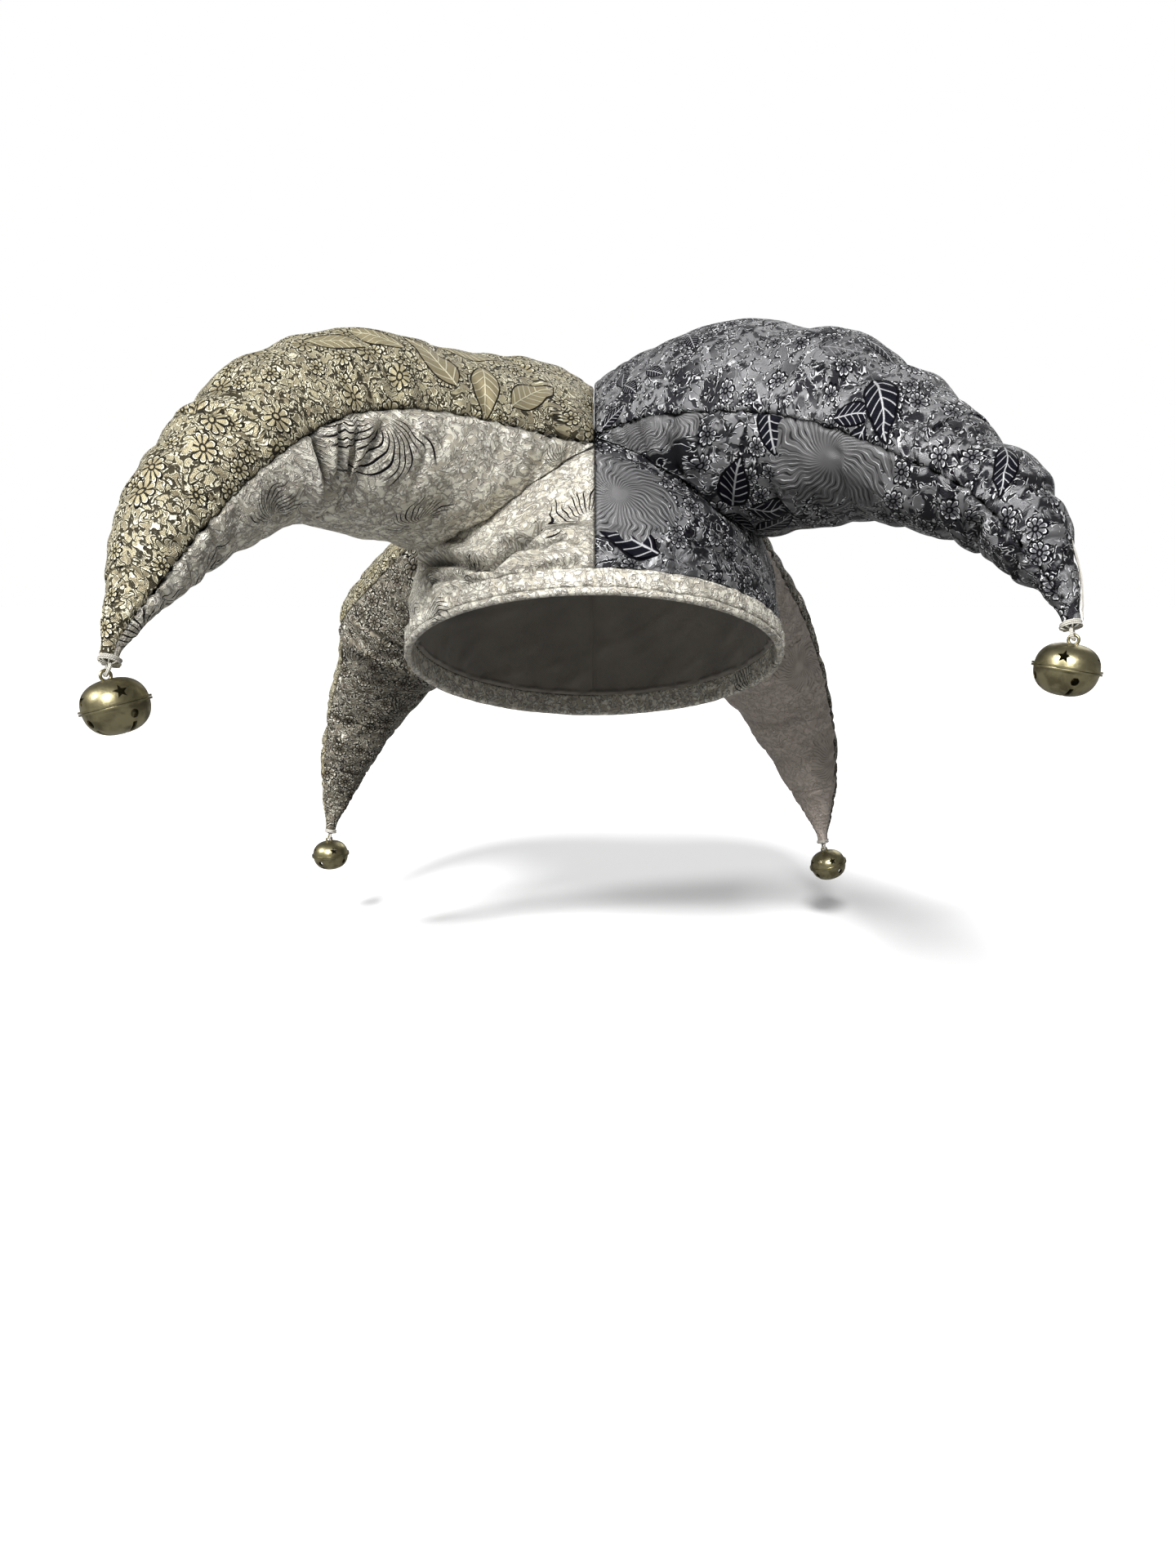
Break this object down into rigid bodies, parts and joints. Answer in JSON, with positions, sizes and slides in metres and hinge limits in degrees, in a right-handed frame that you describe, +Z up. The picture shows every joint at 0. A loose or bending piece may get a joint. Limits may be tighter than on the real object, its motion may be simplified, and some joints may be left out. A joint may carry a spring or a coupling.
{
  "type": "jester hat",
  "caption": "Four-horned stuffed brocade jester hat, tilted back as worn, with a banded head opening and a jingle bell sewn to each drooping horn tip.",
  "frame": {"origin": "centre of the head opening, where the hat sits on the head", "axes": "+Z up as worn, -Y to the front, +X to the right seen from the front; the cap is tilted back 22 degrees"},
  "size_m": [0.3784, 0.3962, 0.3195],
  "materials": {
    "gold_brocade": "satin brocade with raised scrolls and daisies",
    "silver_brocade": "satin brocade, silver cream with taupe figures",
    "pewter_brocade": "satin brocade, dark pewter with light scrolls and near-black leaves",
    "bronze_brocade": "satin brocade, bronze brown with light scrolls",
    "taupe_brocade": "smooth satin brocade, taupe grey",
    "white_thread": "waxed cotton sewing thread",
    "antique_brass": "antique satin"
  },
  "bodies": {
    "root": {"crown_front_left": "silver_brocade", "crown_front_right": "pewter_brocade", "crown_back_left": "bronze_brocade", "crown_back_right": "silver_brocade", "hem_band": "silver_brocade", "horn_front_left_top": "gold_brocade", "horn_front_left_under": "silver_brocade", "horn_front_right_top": "pewter_brocade", "horn_front_right_under": "pewter_brocade", "horn_back_left_top": "gold_brocade", "horn_back_left_under": "bronze_brocade", "horn_back_right_top": "bronze_brocade", "horn_back_right_under": "taupe_brocade", "tie_front_left": "white_thread", "tie_front_right": "white_thread", "tie_back_left": "white_thread", "tie_back_right": "white_thread", "bell_top_front_left": "antique_brass", "bell_base_front_left": "antique_brass", "bell_pellet_front_left": "antique_brass", "bell_top_front_right": "antique_brass", "bell_base_front_right": "antique_brass", "bell_pellet_front_right": "antique_brass", "bell_top_back_left": "antique_brass", "bell_base_back_left": "antique_brass", "bell_pellet_back_left": "antique_brass", "bell_top_back_right": "antique_brass", "bell_base_back_right": "antique_brass", "bell_pellet_back_right": "antique_brass"}
  },
  "joints": []
}
